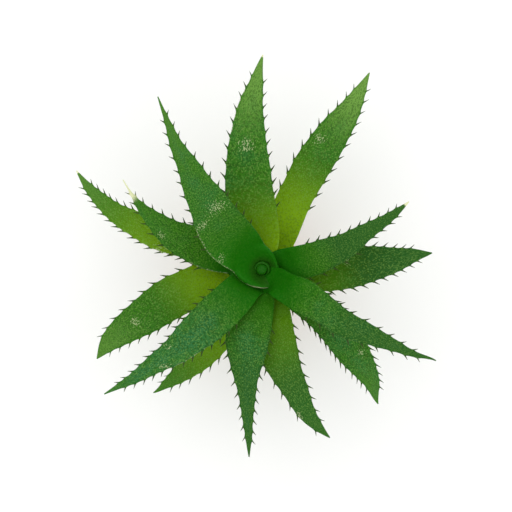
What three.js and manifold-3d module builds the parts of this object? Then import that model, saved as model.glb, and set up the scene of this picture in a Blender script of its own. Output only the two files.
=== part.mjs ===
// A potted rosette succulent with toothed leaves, in millimetres, +Z up.
// The origin is the centre of the pot's underside, where the pot stands on its surface.
//
// Fourteen leaves grow in turn round a short cone-shaped stem. Leaf 1 is the highest and youngest full
// leaf, and each later leaf is seated a little lower and farther out and leans more, so that the leaves
// nest over one another. Two rolled young leaves stand in the middle, where the plant grows.
import * as THREE from "three";
import { mergeVertices } from "three/addons/utils/BufferGeometryUtils.js";
import Module from "manifold-3d";

const { degToRad, lerp, smoothstep } = THREE.MathUtils;
const wasm = await Module();
wasm.setup();

// ---- driving dimensions -------------------------------------------------------------------------

const FIT_GAP = 0.3;                    // left between pieces that touch

// Clay pot: a tapered wall with a collar round the mouth.
const POT_HEIGHT = 76;
const POT_MOUTH_RADIUS = 40;            // outside of the collar
const POT_BASE_RADIUS = 28;             // outside, on the ground
const POT_WALL = 4;
const POT_FLOOR = 5;
const COLLAR_HEIGHT = 17;
const COLLAR_STEP = 2.4;                // how far the collar stands out from the wall below it
const EDGE_EASE = 1.2;                  // worn edges of the collar, lip and base
const POT_SIDES = 36;
const DRAIN_COUNT = 3;
const DRAIN_RADIUS = 4.5;
const DRAIN_RING_RADIUS = 16;

// Potting mix.
const MIX_BELOW_LIP = 10;
const MIX_CROWN = 1.5;                  // the mix is heaped this much higher round the stem
const MIX_CROWN_SHARE = 0.8;            // how far out the heap reaches, as a share of the mix's radius

// Stem: the plant stands a little to one side of the pot's axis, as far as the pot's mouth has room.
const HEART_ASIDE = 7.3;
const HEART_TOWARDS = 16;               // degrees from +X
const STEM_CLEAR_OF_POT = 1.5;          // least room between the stem and the pot's wall
const STEM_TOP_RADIUS = 8.4;
const STEM_SIDES = 24;
const SMALL_ROUND_SIDES = 16;           // on the drainage holes and the rolled leaves
const STEM_FOOT_RADIUS = 12;            // the part below the leaves, set in the mix
const STEM_FOOT_DEPTH = 9;              // how deep it is set
const LEVEL_OUT = 0.9;                  // each leaf is seated this much farther out than the one above
const LEVEL_DOWN = 2.6;                 // and this much lower
const LOWEST_SEAT_BELOW_LIP = 2;        // the last leaf is seated this much below the pot's lip

// Leaf blade. Rise is the slope above level, at the seat, half way and at the tip.
const TOP_LEAF_RISE = [70, 38, 30];
const BOTTOM_LEAF_RISE = [34, 9, -6];
const THICKNESS = [4.2, 8.2, 1.2];      // of the middle of the blade, at the same three places
const MARGIN_SHARE = 0.34;              // thickness at the margin, as a share of the middle's
const TAPER_START = 1.6;                // how late the taper to the tip sets in
const TIP_WIDTH = 0.8;
const CHANNEL_ANGLE = 24;               // half angle of the blade's gutter, once clear of the stem
const CLASP_LIMIT = 112;                // most that half a seat wraps round the stem, in degrees
const CLASP_ENDS_AT = 0.24;             // how far along the leaf the seat has opened into the gutter
const WALK_STEPS = 48;                  // short straight steps that the leaf's middle line is made of
const BLADE_STEPS = 11;
const BLADE_STRIPS = 4;

// Marginal teeth.
const TOOTH_LENGTH = 7;
const TOOTH_RADIUS = 1.3;
const TOOTH_FLATNESS = 0.8;             // a tooth's thickness, as a share of the margin's
const TOOTH_ROOT = 0.9;                 // how deep a tooth is rooted in the margin
const TOOTH_LEAN = 52;                  // degrees from straight out towards the tip
const TEETH_START = 0.3;
const TEETH_END = 0.93;
const TIP_TOOTH_SHARE = 0.62;           // the last teeth, as a share of the first

// The leaves from the top of the rosette down: the direction and horizontal distance of the tip from
// the heart, how many degrees the leaf swings sideways between seat and tip, its width, how far along
// it is widest, its width at the seat as a share of that, how strongly it tapers to the tip, and the
// spacing of its teeth. The first leaf's seat is the widest, because it sheathes the heart. Each fuller
// row is a place along the leaf, then how much fuller than an even leaf its left and right halves are.
const LEAVES = [
  {
    azimuth: 121, swing: 26, reach: 145, width: 32, widest: 0.2, seat: 1.3, taper: 1.4, pitch: 14,
    fuller: [
      [0.17, 6, 0], [0.25, 9.5, 0.5], [0.36, 10.5, 0.5],
      [0.5, 7.5, 1], [0.65, 3, 1], [0.78, 1.5, -0.5],
    ],
  },
  {
    azimuth: 331, swing: -14, reach: 142, width: 27, widest: 0.2, seat: 0.95, taper: 1.2, pitch: 16,
    fuller: [
      [0, -6, 0], [0.1, -6, 3], [0.18, -4, 1.5], [0.3, 2.5, 0],
      [0.45, -0.5, 0], [0.62, 0, 3.5], [0.8, 2.5, -1],
    ],
  },
  {
    azimuth: 218, swing: 14, reach: 147, width: 31, widest: 0.35, seat: 0.85, taper: 1.2, pitch: 11,
    fuller: [[0.35, 3, -2], [0.5, 3.5, -1.5], [0.7, 4.5, -5], [0.8, 3.5, -3]],
  },
  {
    azimuth: 25, swing: -46, reach: 122, width: 28, widest: 0.25, seat: 0.85, taper: 1.0, pitch: 12,
    fuller: [[0.2, -2, 0], [0.4, -1, 1], [0.75, 1, -3.5], [0.9, 1, -0.5]],
  },
  {
    azimuth: 266, swing: -24, reach: 141, width: 33, widest: 0.4, seat: 0.8, taper: 1.3, pitch: 12,
    fuller: [[0.3, -0.5, 3], [0.45, -0.5, 2.5], [0.65, -4, -4.5], [0.8, 0, -4.5], [0.93, 1, 0]],
  },
  {
    azimuth: 90, swing: 34, reach: 162, width: 39, widest: 0.4, seat: 0.8, taper: 1.2, pitch: 13,
    fuller: [[0.2, 0.5, 1.5], [0.35, -0.5, -0.5], [0.5, 0, -1], [0.6, 0, -1], [0.85, 2, 0.5]],
  },
  {
    azimuth: 292, swing: -52, reach: 139, width: 33, widest: 0.4, seat: 0.8, taper: 1.1, pitch: 13,
    fuller: [[0.25, 2.5, -1], [0.45, 1, -1], [0.6, 1, -4], [0.75, 0.5, -1], [0.88, -1, 4]],
  },
  {
    azimuth: 147, swing: 60, reach: 129, width: 28, widest: 0.35, seat: 0.8, taper: 1.0, pitch: 12,
    fuller: [[0.35, 0, 7], [0.5, 0, 2], [0.75, -0.5, -4], [0.9, -2, -4]],
  },
  {
    azimuth: 6, swing: -12, reach: 134, width: 34, widest: 0.4, seat: 0.75, taper: 1.1, pitch: 10,
    fuller: [[0.3, -2, 3.5], [0.45, -2, 4], [0.75, 0.5, 3.5], [0.9, 1.5, 1.5]],
  },
  {
    azimuth: 208, swing: -46, reach: 148, width: 38, widest: 0.45, seat: 0.75, taper: 1.0, pitch: 12,
    fuller: [[0.15, -4, 4], [0.36, -5, 0], [0.5, -2, -1.5], [0.7, 1.5, -1], [0.82, 1, 3], [0.93, 0.5, 4]],
  },
  {
    azimuth: 312, swing: 52, reach: 142, width: 27, widest: 0.45, seat: 0.75, taper: 1.0, pitch: 8.5,
    fuller: [[0.2, 0, 1], [0.4, 0, 0.5], [0.65, 1, 5.5], [0.85, -0.5, 5]],
  },
  {
    azimuth: 61, swing: 8, reach: 178, width: 31, widest: 0.45, seat: 0.7, taper: 1.0, pitch: 13,
    fuller: [[0.08, 2, 4], [0.18, 2, 0], [0.35, 2, -5], [0.7, 1.5, 2], [0.9, -0.5, 2]],
  },
  {
    azimuth: 152, swing: 42, reach: 168, width: 26, widest: 0.45, seat: 0.75, taper: 1.0, pitch: 9,
    fuller: [[0.1, -5, 0], [0.35, -1.5, 0], [0.5, 0.5, -3], [0.75, 3.5, -6], [0.93, 3, -2.5]],
  },
  {
    azimuth: 228, swing: 30, reach: 133, width: 34, widest: 0.4, seat: 0.7, taper: 1.0, pitch: 11,
    fuller: [[0.4, -1, 0], [0.6, 0, -2], [0.85, 2.5, -5.5]],
  },
];

// Rolled young leaves.
const ROLL_INNER_RADIUS = 3.6;
const ROLL_INNER_HEIGHT = 11.5;
const ROLL_OUTER_RADIUS = 7.4;
const ROLL_OUTER_HEIGHT = 10.5;
const SPINDLE_RINGS = 6;
const SPINDLE_FULLNESS = 1.8;           // higher keeps the inner roll's girth nearer to its point
const ROLL_OPENING = 80;                // degrees left open in the outer roll
const ROLL_OPENING_TOWARDS = 262;
const ROLL_LEAN_IN = 0.1;               // how much narrower both rolls are at the top

// ---- sizes that follow --------------------------------------------------------------------------

const MIX_TOP = POT_HEIGHT - MIX_BELOW_LIP;
const LEVELS = LEAVES.length - 1;
const SEAT_BOTTOM = POT_HEIGHT - LOWEST_SEAT_BELOW_LIP;
const SEAT_TOP = SEAT_BOTTOM + LEVELS * LEVEL_DOWN;
const STEM_TOP = SEAT_TOP + LEVEL_DOWN;
const STEM_BOTTOM_RADIUS = STEM_TOP_RADIUS + LEVELS * LEVEL_OUT;
const STEM_UNDERSIDE = MIX_TOP + MIX_CROWN + FIT_GAP;

// How far the heart stands from the pot's axis.
const HEART_ROOM = wallRadius(SEAT_BOTTOM) - POT_WALL - STEM_BOTTOM_RADIUS - STEM_CLEAR_OF_POT;
const HEART_OFFSET = Math.min(HEART_ASIDE, HEART_ROOM);
const HEART_X = HEART_OFFSET * Math.cos(degToRad(HEART_TOWARDS));
const HEART_Y = HEART_OFFSET * Math.sin(degToRad(HEART_TOWARDS));

const COLOURS = { clay: 0xb5633c, mix: 0x2e2219, stem: 0x8fa33a, roll: 0x3f5a1c, leaf: 0x2c6e1f };

// ---- helpers ------------------------------------------------------------------------------------

function toSolid(geometry) {
  const bare = geometry.clone();
  bare.deleteAttribute("normal");
  bare.deleteAttribute("uv");
  const merged = mergeVertices(bare);
  return new wasm.Manifold(new wasm.Mesh({
    numProp: 3,
    vertProperties: Float32Array.from(merged.attributes.position.array),
    triVerts: Uint32Array.from(merged.index.array),
  }));
}

function toGeometry(solid) {
  const mesh = solid.getMesh();
  const geometry = new THREE.BufferGeometry();
  geometry.setAttribute("position", new THREE.BufferAttribute(mesh.vertProperties, 3));
  geometry.setIndex(new THREE.BufferAttribute(mesh.triVerts, 1));
  geometry.computeVertexNormals();
  return geometry;
}

function largestPiece(solid) {
  return solid.decompose().reduce((best, piece) => (piece.volume() > best.volume() ? piece : best));
}

// Moves every vertex of a geometry: move(point) changes the point in place.
function reshape(geometry, move) {
  const position = geometry.attributes.position;
  const point = new THREE.Vector3();
  for (let i = 0; i < position.count; i += 1) {
    point.fromBufferAttribute(position, i);
    move(point);
    position.setXYZ(i, point.x, point.y, point.z);
  }
  return geometry;
}

// Turns a profile of [radius, height] pairs round Z.
function turned(profile, sides) {
  const points = profile.map(([radius, height]) => new THREE.Vector2(radius, height));
  return new THREE.LatheGeometry(points, sides).rotateX(Math.PI / 2);
}

function addMesh(group, name, geometry, color, roughness) {
  const material = new THREE.MeshStandardMaterial({ color, roughness, metalness: 0 });
  const mesh = new THREE.Mesh(geometry, material);
  mesh.name = name;
  group.add(mesh);
}

// ---- pot and potting mix ------------------------------------------------------------------------

// Outside radius of the wall, without the collar.
function wallRadius(height) {
  return lerp(POT_BASE_RADIUS, POT_MOUTH_RADIUS - COLLAR_STEP, height / POT_HEIGHT);
}

function makePot() {
  const collarFoot = POT_HEIGHT - COLLAR_HEIGHT;
  const mouth = POT_MOUTH_RADIUS;
  const inside = (height) => wallRadius(height) - POT_WALL;
  const body = toSolid(turned([
    [0, 0],
    [POT_BASE_RADIUS - EDGE_EASE, 0],
    [POT_BASE_RADIUS, EDGE_EASE],
    [wallRadius(collarFoot), collarFoot],
    [mouth - EDGE_EASE, collarFoot + EDGE_EASE / 2],
    [mouth - EDGE_EASE / 2, collarFoot + EDGE_EASE * 2],
    [mouth, POT_HEIGHT - EDGE_EASE],
    [mouth - EDGE_EASE, POT_HEIGHT],
    [inside(POT_HEIGHT) + EDGE_EASE, POT_HEIGHT],
    [inside(POT_HEIGHT), POT_HEIGHT - EDGE_EASE],
    [inside(POT_FLOOR), POT_FLOOR],
    [0, POT_FLOOR],
  ], POT_SIDES));
  const drain = new THREE.CylinderGeometry(DRAIN_RADIUS, DRAIN_RADIUS, POT_FLOOR * 3, SMALL_ROUND_SIDES);
  drain.rotateX(Math.PI / 2);
  drain.translate(DRAIN_RING_RADIUS, 0, 0);
  let pot = body;
  for (let i = 0; i < DRAIN_COUNT; i += 1) {
    pot = pot.subtract(toSolid(drain));
    drain.rotateZ((2 * Math.PI) / DRAIN_COUNT);
  }
  return toGeometry(pot);
}

function makeMix() {
  const radiusAt = (height) => wallRadius(height) - POT_WALL - FIT_GAP;
  const floor = POT_FLOOR + FIT_GAP;
  const mix = toSolid(turned([
    [0, floor],
    [radiusAt(floor), floor],
    [radiusAt(MIX_TOP), MIX_TOP],
    [radiusAt(MIX_TOP) * MIX_CROWN_SHARE, MIX_TOP + MIX_CROWN],
    [0, MIX_TOP + MIX_CROWN],
  ], POT_SIDES));
  return toGeometry(mix.subtract(stemSolid(FIT_GAP)));
}

// ---- stem and rolled young leaves ---------------------------------------------------------------

// The stem, with its surface moved out by grow.
function stemSolid(grow) {
  const footBottom = MIX_TOP - STEM_FOOT_DEPTH;
  const stem = turned([
    [0, footBottom - grow],
    [STEM_FOOT_RADIUS + grow, footBottom - grow],
    [STEM_FOOT_RADIUS + grow, STEM_UNDERSIDE - grow],
    [STEM_BOTTOM_RADIUS + grow, SEAT_BOTTOM - grow],
    [STEM_TOP_RADIUS + grow, STEM_TOP + grow],
    [0, STEM_TOP + grow],
  ], STEM_SIDES);
  return toSolid(stem.translate(HEART_X, HEART_Y, 0));
}

// The room that both rolls fill, with its surface moved out by grow.
function rollRoom(grow) {
  const radius = ROLL_OUTER_RADIUS + grow;
  const top = Math.max(ROLL_INNER_HEIGHT, ROLL_OUTER_HEIGHT) + grow;
  const profile = [[0, -grow], [radius, -grow], [radius * (1 - ROLL_LEAN_IN), top], [0, top]];
  const room = turned(profile, STEM_SIDES);
  return toSolid(room.translate(HEART_X, HEART_Y, STEM_TOP + FIT_GAP));
}

// Narrows a roll that stands on z = 0 towards its top and sets it on the stem.
function seatRoll(geometry, height) {
  reshape(geometry, (point) => {
    const shrink = 1 - ROLL_LEAN_IN * (point.z / height);
    point.x *= shrink;
    point.y *= shrink;
  });
  return geometry.translate(HEART_X, HEART_Y, STEM_TOP + FIT_GAP);
}

function makeInnerRoll() {
  const profile = [[0, 0]];
  for (let i = 0; i <= SPINDLE_RINGS; i += 1) {
    const up = i / SPINDLE_RINGS;
    profile.push([ROLL_INNER_RADIUS * (1 - up ** SPINDLE_FULLNESS), ROLL_INNER_HEIGHT * up]);
  }
  return seatRoll(turned(profile, SMALL_ROUND_SIDES), ROLL_INNER_HEIGHT);
}

function makeOuterRoll() {
  const innerRadius = ROLL_INNER_RADIUS / (1 - ROLL_LEAN_IN) + FIT_GAP;
  const start = degToRad(ROLL_OPENING_TOWARDS + ROLL_OPENING / 2);
  const end = degToRad(ROLL_OPENING_TOWARDS - ROLL_OPENING / 2) + 2 * Math.PI;
  const section = new THREE.Shape();
  section.absarc(0, 0, ROLL_OUTER_RADIUS, start, end, false);
  section.absarc(0, 0, innerRadius, end, start, true);
  section.closePath();
  const options = { depth: ROLL_OUTER_HEIGHT, bevelEnabled: false, curveSegments: 10, steps: 1 };
  return seatRoll(new THREE.ExtrudeGeometry(section, options), ROLL_OUTER_HEIGHT);
}

// ---- leaves -------------------------------------------------------------------------------------

// A smooth run through three values: first at 0, last at 1, pulled towards the middle one between.
function blend(values, along) {
  const back = 1 - along;
  return back * back * values[0] + 2 * along * back * values[1] + along * along * values[2];
}

// Everything about one leaf that its blade and teeth share. A place on it is given by along, from 0 at
// the seat to 1 at the tip.
function planLeaf(leaf, level) {
  const depth = level / LEVELS;
  const rise = TOP_LEAF_RISE.map((top, i) => degToRad(lerp(top, BOTTOM_LEAF_RISE[i], depth)));
  const swing = degToRad(leaf.swing);
  const seatRadius = STEM_TOP_RADIUS + level * LEVEL_OUT;
  const direction = (along) => {
    const heading = swing * (0.5 - along);
    const slope = blend(rise, along);
    const flat = Math.cos(slope);
    return new THREE.Vector3(flat * Math.cos(heading), flat * Math.sin(heading), Math.sin(slope));
  };

  // Walk the middle line in short steps, for a leaf of length 1 that heads along +X.
  const walk = [new THREE.Vector3()];
  for (let i = 0; i < WALK_STEPS; i += 1) {
    const step = direction((i + 0.5) / WALK_STEPS).divideScalar(WALK_STEPS);
    walk.push(walk[i].clone().add(step));
  }
  const end = walk[WALK_STEPS];
  const length = (leaf.reach - seatRadius) / Math.hypot(end.x, end.y);
  const turn = degToRad(leaf.azimuth) - Math.atan2(end.y, end.x);
  const up = new THREE.Vector3(0, 0, 1);
  const seatAngle = degToRad(leaf.azimuth);
  const seat = new THREE.Vector3(
    HEART_X + seatRadius * Math.cos(seatAngle),
    HEART_Y + seatRadius * Math.sin(seatAngle),
    SEAT_TOP - level * LEVEL_DOWN,
  );
  const line = new THREE.CatmullRomCurve3(
    walk.map((point) => point.clone().multiplyScalar(length).applyAxisAngle(up, turn).add(seat)),
  );

  const width = (along) => {
    if (along < leaf.widest) {
      const opened = Math.sin((along / leaf.widest) * (Math.PI / 2));
      return leaf.width * lerp(leaf.seat, 1, opened);
    }
    const left = 1 - ((along - leaf.widest) / (1 - leaf.widest)) ** TAPER_START;
    return Math.max(leaf.width * left ** leaf.taper, TIP_WIDTH);
  };
  const fullerRows = [[-0.1, 0, 0], ...leaf.fuller, [1, 0, 0]];
  const fuller = (along, hand) => {
    const next = Math.max(1, fullerRows.findIndex(([place]) => place >= Math.min(along, 1)));
    const before = fullerRows[next - 1];
    const after = fullerRows[next];
    const half = hand > 0 ? 1 : 2;
    return lerp(before[half], after[half], (along - before[0]) / (after[0] - before[0]));
  };
  const clasp = Math.min((leaf.seat * leaf.width) / 2 / seatRadius, degToRad(CLASP_LIMIT));
  const gutter = (along) => {
    return lerp(clasp, degToRad(CHANNEL_ANGLE), smoothstep(along, 0, CLASP_ENDS_AT));
  };

  // The blade's own axes at a place: out to its left, up through its thickness, and along it.
  const frame = (along) => {
    const ahead = direction(along).applyAxisAngle(up, turn);
    const side = new THREE.Vector3(-ahead.y, ahead.x, 0).normalize();
    const face = new THREE.Vector3().crossVectors(ahead, side);
    return { origin: line.getPoint(along), side, face, ahead };
  };
  return { length, width, fuller, gutter, frame };
}

// The blade, with its surface moved out by grow: a box bent along the leaf's middle line, hollowed
// lengthways like a gutter and thinned towards its margins and tip.
function bladeSolid(plan, grow) {
  const box = new THREE.BoxGeometry(1, 1, 1, BLADE_STRIPS, 1, BLADE_STEPS);
  reshape(box, (point) => {
    const along = point.z + 0.5;
    const across = point.x * 2;
    const { origin, side, face, ahead } = plan.frame(along);
    const angle = plan.gutter(along) * across;
    const radius = plan.width(along) / 2 / plan.gutter(along);
    const thickness = blend(THICKNESS, along) * lerp(1, MARGIN_SHARE, across * across);
    const lift = point.y * (thickness + 2 * grow);
    const out = side.clone().multiplyScalar(Math.cos(angle)).addScaledVector(face, Math.sin(angle));
    const normal = face.clone().multiplyScalar(Math.cos(angle)).addScaledVector(side, -Math.sin(angle));
    point.copy(origin);
    point.addScaledVector(side, radius * Math.sin(angle));
    point.addScaledVector(face, radius * (1 - Math.cos(angle)));
    point.addScaledVector(normal, lift);
    point.addScaledVector(out, across * (grow + plan.fuller(along, across)));
    point.addScaledVector(ahead, (2 * along - 1) * grow);
  });
  return toSolid(box);
}

// A flat thorn that leans towards the tip. hand is 1 on the left margin and -1 on the right one.
function toothSolid(plan, along, hand) {
  const { origin, side, face, ahead } = plan.frame(along);
  const angle = plan.gutter(along);
  const radius = plan.width(along) / 2 / angle;
  const margin = origin.clone();
  margin.addScaledVector(side, hand * radius * Math.sin(angle));
  margin.addScaledVector(face, radius * (1 - Math.cos(angle)));

  const lean = degToRad(TOOTH_LEAN);
  const out = side.clone().multiplyScalar(hand * Math.cos(angle)).addScaledVector(face, Math.sin(angle));
  margin.addScaledVector(out, plan.fuller(along, hand));
  const point = out.clone().multiplyScalar(Math.cos(lean)).addScaledVector(ahead, Math.sin(lean));
  const flat = new THREE.Vector3().crossVectors(ahead, out);
  const broad = new THREE.Vector3().crossVectors(point, flat);

  const share = toothShare(along);
  const height = TOOTH_LENGTH * share + TOOTH_ROOT;
  const thickness = blend(THICKNESS, along) * MARGIN_SHARE * TOOTH_FLATNESS;
  const tooth = new THREE.ConeGeometry(1, height, 4);
  tooth.scale(TOOTH_RADIUS * share, 1, thickness / 2);
  tooth.translate(0, height / 2 - TOOTH_ROOT, 0);
  tooth.applyMatrix4(new THREE.Matrix4().makeBasis(broad, point, flat).setPosition(margin));
  return toSolid(tooth);
}

// How large a tooth is at a place along the leaf, next to the first ones.
function toothShare(along) {
  return lerp(1, TIP_TOOTH_SHARE, (along - TEETH_START) / (TEETH_END - TEETH_START));
}

function leafSolid(leaf, plan) {
  let solid = bladeSolid(plan, 0);
  for (const hand of [-1, 1]) {
    let along = TEETH_START + (hand > 0 ? leaf.pitch / plan.length / 2 : 0);
    while (along < TEETH_END) {
      solid = solid.add(toothSolid(plan, along, hand));
      along += (leaf.pitch * toothShare(along)) / plan.length;
    }
  }
  return solid;
}

// ---- the whole plant ----------------------------------------------------------------------------

function makePlant() {
  const plant = new THREE.Group();
  addMesh(plant, "stem", toGeometry(stemSolid(0)), COLOURS.stem, 0.6);
  addMesh(plant, "heart_leaf_inner", makeInnerRoll(), COLOURS.roll, 0.5);
  addMesh(plant, "heart_leaf_outer", makeOuterRoll(), COLOURS.roll, 0.5);

  // Each leaf gives way to the stem, the rolls and the leaves above it.
  const plans = LEAVES.map((leaf, level) => planLeaf(leaf, level));
  const shapesAbove = [stemSolid(FIT_GAP), rollRoom(FIT_GAP)];
  LEAVES.forEach((leaf, level) => {
    let solid = leafSolid(leaf, plans[level]);
    for (const shape of shapesAbove) {
      solid = solid.subtract(shape);
    }
    const name = `leaf_${String(level + 1).padStart(2, "0")}`;
    addMesh(plant, name, toGeometry(largestPiece(solid)), COLOURS.leaf, 0.45);
    shapesAbove.push(bladeSolid(plans[level], FIT_GAP));
  });
  return plant;
}

const pottedSucculent = new THREE.Group();
addMesh(pottedSucculent, "pot", makePot(), COLOURS.clay, 0.85);
addMesh(pottedSucculent, "potting_mix", makeMix(), COLOURS.mix, 0.95);
pottedSucculent.add(makePlant());

export default pottedSucculent;
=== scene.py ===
"""A potted rosette succulent with toothed leaves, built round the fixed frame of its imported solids.

Every leaf is measured from its own solid in the frame (its middle line, width, thickness, gutter and
thorns) and built again with a fine, waxy skin. Pot, potting mix, stem and rolled heart leaves follow the
frame in the same way. Everything is in metres, +Z up, and rides on the one body of the frame.
"""

import math
from collections import namedtuple

import bmesh
import bpy
import numpy as np
from bpy.props import FloatProperty, FloatVectorProperty, IntProperty, PointerProperty
from mathutils import Matrix, Vector, noise


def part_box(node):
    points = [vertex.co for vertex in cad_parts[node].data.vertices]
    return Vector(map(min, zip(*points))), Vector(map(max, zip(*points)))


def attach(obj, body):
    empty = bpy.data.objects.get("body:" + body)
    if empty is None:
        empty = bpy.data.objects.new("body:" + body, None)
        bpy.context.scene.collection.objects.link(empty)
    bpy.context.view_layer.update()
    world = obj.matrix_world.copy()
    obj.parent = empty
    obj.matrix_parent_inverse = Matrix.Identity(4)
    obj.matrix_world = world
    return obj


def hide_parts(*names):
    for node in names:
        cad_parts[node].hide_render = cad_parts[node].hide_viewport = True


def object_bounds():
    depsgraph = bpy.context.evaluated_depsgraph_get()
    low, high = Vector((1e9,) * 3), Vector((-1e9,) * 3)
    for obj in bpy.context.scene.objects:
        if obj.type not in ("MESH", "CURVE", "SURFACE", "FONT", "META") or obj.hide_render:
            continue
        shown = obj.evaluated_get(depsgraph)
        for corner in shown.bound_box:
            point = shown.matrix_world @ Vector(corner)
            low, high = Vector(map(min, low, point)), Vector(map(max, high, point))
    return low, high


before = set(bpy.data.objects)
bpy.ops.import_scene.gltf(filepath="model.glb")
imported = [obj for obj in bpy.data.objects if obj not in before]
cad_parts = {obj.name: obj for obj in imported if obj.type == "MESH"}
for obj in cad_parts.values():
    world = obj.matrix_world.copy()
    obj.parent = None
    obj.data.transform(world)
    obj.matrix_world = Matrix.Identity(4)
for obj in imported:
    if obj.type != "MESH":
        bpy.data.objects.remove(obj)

bl_info = {
    "name": "Potted Rosette Succulent",
    "version": (1, 0, 0),
    "blender": (4, 5, 0),
    "location": "3D View > Sidebar > Succulent",
    "description": "Builds a toothed rosette succulent in a clay pot and a plain studio round it",
    "category": "Add Mesh",
}

CAD_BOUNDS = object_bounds()
MM = 0.001

LEAF_NODES = sorted(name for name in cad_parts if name.startswith("leaf_"))
TOP_LEAF = 0                            # its seat wraps round the heart
FLAT_SEATS = 2                          # this many of the youngest leaves are nearly flat at the seat
STEM_LOW, STEM_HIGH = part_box("stem")
POT_LOW, POT_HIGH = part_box("pot")
MIX_LOW, MIX_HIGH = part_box("potting_mix")
INNER_LOW, INNER_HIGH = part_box("heart_leaf_inner")
OUTER_LOW, OUTER_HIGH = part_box("heart_leaf_outer")
HEART = (STEM_LOW + STEM_HIGH) / 2


def linear(code):
    """The linear red, green and blue of an sRGB hex colour."""
    parts = [int(code[i:i + 2], 16) / 255 for i in (1, 3, 5)]
    return tuple(p / 12.92 if p <= 0.04045 else ((p + 0.055) / 1.055) ** 2.4 for p in parts)


# ---- what each leaf looks like, from the top of the rosette down ---------------------------------
#
# lime is how yellow-green the seat is and reach how far out that goes, wax how blue the bloom on the
# blade is and how strong the painted sheen down its middle is, pale how light the outer part gets and
# dark how deep a green it keeps, and cream the length of the dry tip in millimetres. hook moves the
# last of the tip sideways (left is plus) and up, in millimetres. Each scuff is a place along the leaf, a
# place across it and a size in millimetres. Each rim is a margin (1 is the left one), where along it the
# pale line runs, and how far in it reaches.
Habit = namedtuple("Habit", "lime reach wax pale dark cream hook scuffs rims")
RIM = 0.14
HABITS = [
    Habit(0.00, 0.20, 0.35, 0.40, 0.0, 0, (0, 0),
          [(0.48, -0.3, 9), (0.43, 0.7, 5), (0.25, 0.95, 6)],
          [(1, 0.03, 0.5, RIM), (1, 0.05, 0.16, 0.45)]),
    Habit(0.00, 0.20, 0.35, 0.00, 1.0, 0, (4, 0), [], []),
    Habit(0.10, 0.25, 0.75, 0.10, 0.1, 0, (0, 0), [(0.72, 0.7, 7), (0.66, -0.6, 5)], [(1, 0.5, 0.95, RIM)]),
    Habit(0.00, 0.30, 0.10, 0.00, 1.7, 5, (0, 0), [], []),
    Habit(0.30, 0.30, 0.45, 0.00, 0.9, 0, (0, 0), [], []),
    Habit(0.95, 0.34, 0.30, 0.75, 0.0, 2, (-0.5, 0), [(0.62, 0.1, 8)], [(1, 0.6, 0.95, RIM)]),
    Habit(0.50, 0.60, 0.10, 0.00, 0.8, 0, (0, 0), [(0.82, -0.9, 6)], []),
    Habit(0.10, 0.30, 0.12, 0.25, 0.2, 22, (0, 2), [(0.62, 0.6, 5)], [(1, 0.1, 0.5, RIM)]),
    Habit(0.45, 0.55, 0.05, 0.00, 1.2, 0, (-1, -3), [(0.5, 0.3, 4)], []),
    Habit(1.10, 0.44, 0.10, 0.50, 0.0, 0, (1, -3), [(0.72, 0, 6)], []),
    Habit(0.30, 0.35, 0.40, 0.35, 0.0, 0, (-3, 0), [(0.7, 0.4, 5)], [(1, 0.4, 0.9, RIM)]),
    Habit(1.10, 0.42, 0.15, 0.85, 0.0, 0, (1, 0), [(0.62, 0.5, 6)], [(1, 0.7, 0.98, RIM)]),
    Habit(0.70, 0.75, 0.05, 0.60, 0.1, 3, (0, 2), [(0.45, 0.9, 7)], [(1, 0.4, 0.95, RIM)]),
    Habit(0.70, 0.75, 0.05, 0.30, 0.0, 0, (2, 0), [], [(1, 0.6, 0.95, RIM)]),
]

# The seat of the youngest full leaf wraps round the heart like a shallow cup, which reaches this share
# of the leaf's length. Each row of its rim is a direction in degrees, then how far out the rim is and
# how high above the stem, in millimetres.
SHEATH_SHARE = 0.17
SHEATH_WRAP = 179
SHEATH_RIM = [
    (0, 14.4, 7), (25, 12.8, 8), (49, 12.8, 9.5), (75, 17, 13), (96, 22, 20), (150, 24, 26),
    (184, 24, 24), (205, 18.8, 16), (231, 16.8, 12.5), (254, 15, 10.5), (270, 15.4, 9.5),
    (285, 16.6, 8.5), (305, 16, 6), (345, 16, 6),
]
# The cup rises round the heart as a tube before it opens out: this share of its own length. The tube
# clasps the outer rolled leaf this tightly, and its floor starts this far up from the stem.
SHEATH_TUBE = 0.12
SHEATH_CLASP = 0.6 * MM
SHEATH_FLOOR = 1.2 * MM
SHEATH_BROWN = 0.32                     # how brown the tube is


# ---- settings ------------------------------------------------------------------------------------

def colour_setting(name, description, code):
    return FloatVectorProperty(
        name=name, description=description, subtype="COLOR", size=3, min=0, max=1, default=linear(code))


def length_setting(name, description, millimetres):
    return FloatProperty(
        name=name, description=description, subtype="DISTANCE", unit="LENGTH", min=0,
        default=millimetres * MM)


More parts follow.
